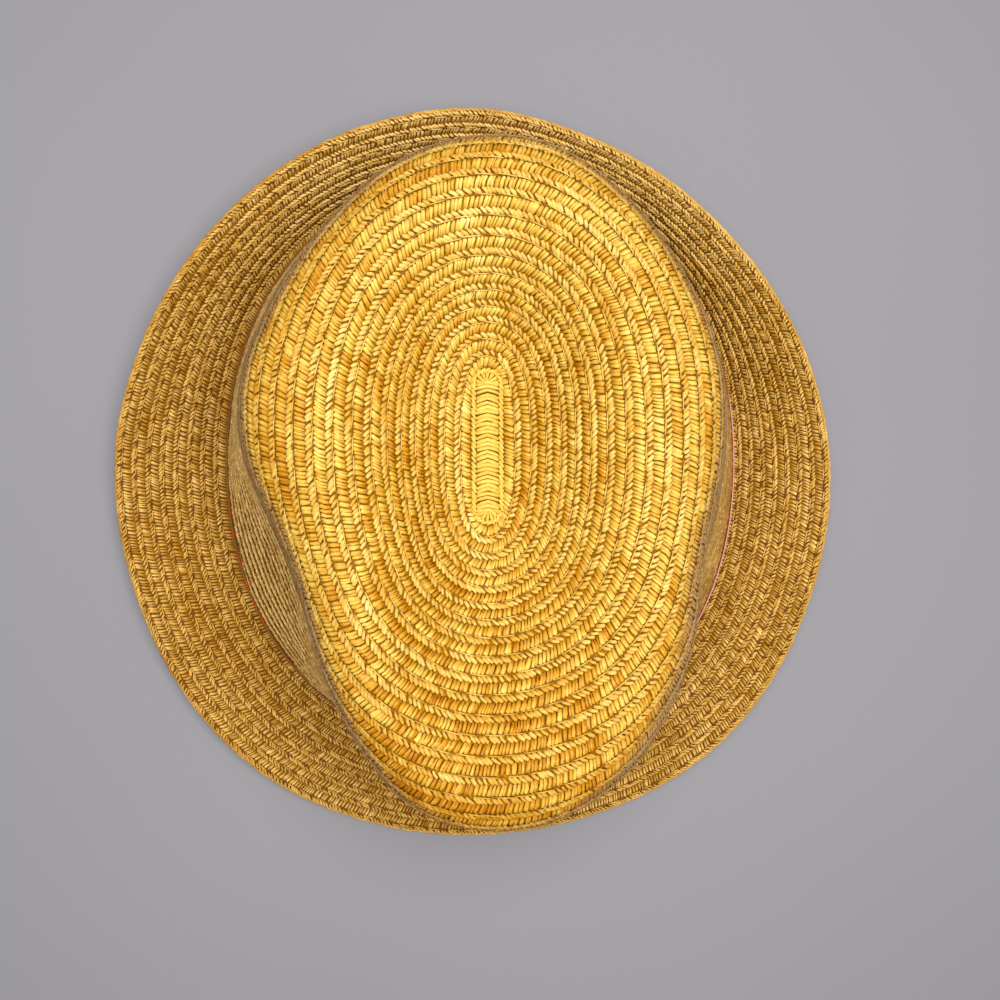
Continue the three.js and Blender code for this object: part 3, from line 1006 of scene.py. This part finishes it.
def strip_chevron(strands):
    """Rungs across the strip, whose ends point to the front."""
    n = int(2 * (STRIP_STRAIGHT + CHEVRON_SPARE) / CHEVRON_PITCH)
    y = (np.arange(n) - (n - 1) / 2) * CHEVRON_PITCH
    x = np.array((-3.3, -3.0, -1.6, 0.0, 1.6, 3.0, 3.3)) + stagger(n, 0.2)
    sweep = np.array((-0.9, -0.8, -0.25, 0.15, -0.25, -0.8, -0.9)) * (1 + stagger(n, 0.6))
    plan = np.stack([x, y[:, None] + stagger(n, 0.25) + sweep], -1)
    fullness = np.array((0, 0.9, 1, 1, 1, 0.9, 0))
    half = 0.64 * fullness * (1 + stagger(n, 0.2))
    thick = 0.45 * fullness
    tone = 0.54 + 0.10 * patches(y + STRIP[1], 4, 2 * STRIP[1])[:, None] + stagger(n, 0.16)
    tone = tone + 0.05 * np.cos(np.pi / 3 * x)
    # painted shade at the chevron's ends
    depth = np.array((0.2, -0.1, -0.2, -0.2, -0.2, -0.1, 0.2))
    lift = np.array((-0.5, -0.25, -0.1, -0.06, -0.1, -0.25, -0.5)) + stagger(n, 0.1)
    strip_strands(strands, plan, lift, half, thick, tone, depth, stagger(n, 0.5))


def strip_fan(strands, start):
    """Rungs that spread out inside one end of the strip."""
    n = FAN_RUNGS
    s = start + (np.arange(n) + 0.5) / n * 2 * STRIP_QUARTER
    out = np.array((-3.3, -3.0, -1.9, -0.85, -0.3)) + stagger(n, 0.2)
    plan = stadium(s[:, None] + 0.5 * np.linspace(-1, 1, 5), out)
    half = 0.5 * np.array((0, 0.55, 0.95, 1.5, 0))
    thick = 0.55 * np.array((0, 1, 1, 1, 0))
    lift = np.array((-0.3, -0.12, -0.02, -0.2, -0.5)) + stagger(n, 0.12)
    tone = 0.56 + stagger(n, 0.2)
    depth = np.array((0.0, -0.1, -0.2, -0.2, 0.0))
    strip_strands(strands, plan, lift, half, thick, tone, depth, stagger(n, 0.5))


def strip_rope(strands):
    """Lobes all round the strip."""
    n = int(STRIP_LAP / STRIP_LOBE_PITCH)
    s = (np.arange(n) + 0.5) * STRIP_LAP / n
    across = np.array((-1.25, -0.72, 0, 0.72, 1.25))
    lean = 1.25 * (1 + stagger(n, 0.4))
    run = s[:, None] + stagger(n, 0.3) + lean * np.array((-1.1, -0.66, 0, 0.66, 1.1))
    plan = stadium(run, 0.66 * across)
    lift = np.array((-0.6, -0.12, 0.02, -0.12, -0.7)) + stagger(n, 0.12)
    half = 0.52 * np.array((0, 0.95, 1.0, 0.92, 0)) * (1 + stagger(n, 0.24))
    thick = 0.62 * np.array((0, 0.9, 1.0, 0.9, 0))
    tone = 0.60 + stagger(n, 0.2)
    # painted shade at the lobes' ends
    depth = np.array((0.2, -0.1, -0.2, -0.1, 0.2))
    strip_strands(strands, plan, lift, half, thick, tone, depth, 0.28 + stagger(n, 0.3))


def centre_strip():
    """The braid's first stretch: a chevron with a fan at each end, inside a closed rope."""
    strands = Strands(ROPE_EDGE_SHADE)
    strip_chevron(strands)
    for start in (2 * STRIP_STRAIGHT, 2 * STRIP_STRAIGHT + STRIP_LAP / 2):
        strip_fan(strands, start)
    strip_rope(strands)
    strands.build("centre_strip", crown_ladder_skin)


centre_strip()


# ---- Brim ----
BRIM_STYLE = dict(
    CROWN_STYLE,
    slant=0.9,
    ladder_end=0.65,
    base=-0.70,
    rung_pitch=1.10,
    rung_thick=0.58,
    rung_cover=0.42,
    rung_tone=0.57,
    rope_share=0.85,
    rope_half_share=0.13,
    lobe_reach=0.85,
    lobe_half=0.42,
    lobe_thick=0.62,
    lobe_pitch=1.25,
    rope_tone=0.60,
    stitch_reach=2.3,
    thread_half=0.20,
    thread_lift=0.40,
    hole_reach=0.9,
    hole_half=0.40,
    painted_slope_shade=0.0,
    painted_front_shade=0.0,
    # the brim: painted light where it faces the front and on its +X side
    painted_back_light=0.30,
    painted_right_light=0.05,
)
UNDER_STYLE = dict(BRIM_STYLE, base=-1.16, rung_pitch=1.25, lobe_pitch=1.7)
EDGE_STYLE = dict(
    BRIM_STYLE,
    base=-0.58,
    rope_share=0.5,
    rope_half_share=0.26,
    rope_height=0.2,
    lobe_pitch=1.45,
    lobe_reach=2.1,
    lobe_half=0.50,
    lobe_thick=0.5,
    rope_tone=0.54,
)
EDGE_BULGE = 0.55  # how far the braid over the edge stands out
CORE_STATIONS = 240
CORE_DEPTH = 0.85  # how far inside each of the brim's faces the core lies
CORE_STEP = 0.5  # its rings, in rows


def brim_edge_surface():
    """The brim's rounded edge, from its top face (row 0) to its underside (row 1)."""
    top = brim_lines(0)[:, -1]
    under = brim_lines(BRIM_WALL)[:, -1]
    turn = np.linspace(0, np.pi, ROW_STEPS + 1)
    middle = (top + under) / 2
    up = (top - under) / 2
    axis = unit(np.roll(top, -1, axis=0) - np.roll(top, 1, axis=0))
    out = unit(np.cross(axis, up))
    away = (under - DENT_CENTRE_3D) * np.array((1, 1, 0))
    out = out * np.sign((out * away).sum(-1, keepdims=True))
    ring = middle[:, None] + up[:, None] * np.cos(turn)[None, :, None]
    ring = ring + out[:, None] * (EDGE_BULGE * np.sin(turn))[None, :, None]
    return Surface(ring)


def brim_braid(surface, style, prefix, thread, section, open_below):
    ladder = Strands(RUNG_EDGE_SHADE, open_below)
    rope = Strands(ROPE_EDGE_SHADE, open_below)
    for row in range(BRIM_ROWS):
        lay_braid(Trail(surface, row), style, ladder, rope, thread, section)
    ladder.build(prefix + "_ladder", brim_ladder_skin)
    rope.build(prefix + "_rope", brim_rope_skin)


brim_thread = Strands(ROPE_EDGE_SHADE, open_below=True)
brim_braid(brim_top, BRIM_STYLE, "brim_top", brim_thread, FLAT, open_below=False)
brim_braid(brim_under, UNDER_STYLE, "brim_under", brim_thread, ROUND, open_below=True)
brim_thread.build("brim_thread", brim_thread_skin)

edge_rope = Strands(ROPE_EDGE_SHADE)
edge_trail = Trail(brim_edge_surface(), 0)
lay_rope(edge_trail, EDGE_STYLE, edge_rope, ROUND, NO_HOLES)
edge_rope.build("brim_edge_rope", brim_rope_skin)


def brim_core():
    """The layer between the braid's two faces. It reaches in under the crown's wall."""
    angle, row = np.meshgrid(stations(CORE_STATIONS), np.arange(0, BRIM_ROWS + 0.01, CORE_STEP))
    place, normal = brim_top.at(angle, row)
    top = place - normal * CORE_DEPTH
    place, normal = brim_under.at(angle, row)
    under = place - normal * CORE_DEPTH
    inwards = CROWN_WALL * unit(DENT_CENTRE_3D - top[:1]) * np.array((1, 1, 0))
    rings = np.concatenate([top, under[::-1], under[:1] + inwards, top[:1] + inwards])
    faces = ring_faces(len(rings), CORE_STATIONS, closed=True)
    return make_piece("brim_core", rings.reshape(-1, 3), [faces], brim_backing)


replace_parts(brim_core(), "brim")


# ---- Ribbon band ----
RIBBON_THICK = 0.6
RIBBON_LOOSE = 0.15  # how far from the crown it lies, past the gap between solids
RIBBON_STATIONS = 1440
PALE_EDGE = (35, 106)  # angles between which the ribbon's top edge and outer face are pale
DASHES = (281, 311)  # angles between which it shows in parts. Straw covers it elsewhere.
PALE_EDGE_FADE = 8  # degrees
DASHES_FADE = 2
DASH_PITCH = 7.6
DASH_SHARE = 0.34


def ribbon_material():
    shader = Shader("woven_ribbon", 0.7, 0.1)
    ribs = shader.noise(1.0, 2.0, "UV", (2.2, 0.25, 1.0))
    body = shader.ramp(ribs, ("86280e", "ac441a"), 0.25, 0.75)
    pale = shader.mix(shader.attribute("pale_edge"), body, linear("c0a09c"))
    shader.colour(shader.mix(shader.attribute("covered"), pale, linear("744a1e")))
    shader.bump(ribs, 0.6, 0.0002)
    return shader.material


def between(angle, limits, fade):
    """1 between two angles, falling to 0 at each of them."""
    return smoothstep((angle - limits[0]) / fade) * smoothstep((limits[1] - angle) / fade)


def ribbon_band():
    """The ribbon round the foot of the crown, with the straw that covers its upper edge."""
    angle = stations(RIBBON_STATIONS)
    heading = direction(angle)
    foot = DENT_CENTRE + foot_reach(heading)[:, None] * heading
    out = unit(foot_grow(foot))
    run = np.concatenate([[0], np.cumsum(np.linalg.norm(np.diff(foot, axis=0), axis=-1))])
    pale = between(angle, PALE_EDGE, PALE_EDGE_FADE)
    phase = run / DASH_PITCH + 0.3 * patches(run, 9.0, run[-1])
    dashes = between(angle, DASHES, DASHES_FADE) * smoothstep((DASH_SHARE - phase % 1) / 0.1)
    covered = 1 - np.maximum(pale, dashes)
    bottom = BRIM_WALL + GAP
    inner = GAP + RIBBON_LOOSE
    outer = inner + RIBBON_THICK
    # reach, height, share of the pale edge colour, share of the covering straw
    profile = (
        (inner, bottom, 0, 0),
        (inner, BAND_TOP, 0, 1),
        (inner + 0.3 * RIBBON_THICK, BAND_TOP + 0.1, 0, 1),
        (inner + 0.5 * RIBBON_THICK, BAND_TOP + 0.1, 1, 1),
        (outer, BAND_TOP - 0.1, 1, 1),
        (outer, BAND_TOP - 0.6, 1, 1),
        (outer - 0.1, BAND_TOP - 0.9, 0, 0),
        (outer - 0.1, bottom + 0.9, 0, 0),
        (outer, bottom + 0.6, 1, 0),
        (outer, bottom, 1, 0),
    )
    reach, z, pale_share, covered_share = columns(profile)[..., None]
    z = z + 0 * run
    points = np.concatenate([foot + out * reach[..., None], z[..., None]], -1).reshape(-1, 3)
    values = dict(pale_edge=(pale_share * pale).ravel(), covered=(covered_share * covered).ravel())
    uv = np.stack([run + 0 * z, z], -1).reshape(-1, 2)
    faces = [ring_faces(len(profile), RIBBON_STATIONS, closed=True)]
    skin = ribbon_material()
    return make_piece("hat_band_ribbon", points, faces, skin, values, uv)


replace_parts(ribbon_band(), "hat_band")

# ---- Floor, light and camera ----
FLOOR_HALF = 3.0
KEY_PLACE = Vector((0.03, 0.06, 0.62))
KEY_TARGET = Vector((0, 0, 0.05))
CAMERA_PLACE = Vector((-0.0128, 0.0179, 0.363))
CAMERA_AHEAD = Vector((0.060, -0.058, -1.0))

scene = bpy.context.scene
scene.view_settings.view_transform = "Standard"


def floor():
    sides = ((-1, -1), (1, -1), (1, 1), (-1, 1))
    corners = [(x * FLOOR_HALF, y * FLOOR_HALF, 0) for x, y in sides]
    mesh = bpy.data.meshes.new("floor")
    mesh.from_pydata(corners, [], [(0, 1, 2, 3)])
    shader = Shader("pale_floor", 0.9, 0.1)
    shader.colour(shader.ramp(shader.noise(3.0, 2.0), ("7f7d82", "878589")))
    mesh.materials.append(shader.material)
    piece = bpy.data.objects.new("floor", mesh)
    scene.collection.objects.link(piece)


def aimed(name, data, place, towards):
    """A light or camera at a place, with its -Z axis along a direction."""
    obj = bpy.data.objects.new(name, data)
    scene.collection.objects.link(obj)
    ahead = towards.normalized()
    right = ahead.cross(Vector((0, 1, 0))).normalized()
    over = right.cross(ahead)
    rotation = Matrix((right, over, -ahead)).transposed().to_4x4()
    obj.matrix_world = Matrix.Translation(place) @ rotation
    return obj


floor()

key = bpy.data.lights.new("key", "AREA")
key.shape = "DISK"
key.size = 0.45
key.energy = 6.6
key.color = (1.0, 0.985, 0.96)
aimed("key", key, KEY_PLACE, KEY_TARGET - KEY_PLACE)

world = bpy.data.worlds.new("studio")
scene.world = world
world.use_nodes = True
background = world.node_tree.nodes["Background"]
background.inputs["Color"].default_value = (0.95, 0.97, 1.0, 1)
background.inputs["Strength"].default_value = 0.38

view = bpy.data.cameras.new("camera")
view.lens = 36  # as long as the sensor is wide: a view of 53 degrees
view.sensor_width = 36
scene.camera = aimed("camera", view, CAMERA_PLACE, CAMERA_AHEAD)
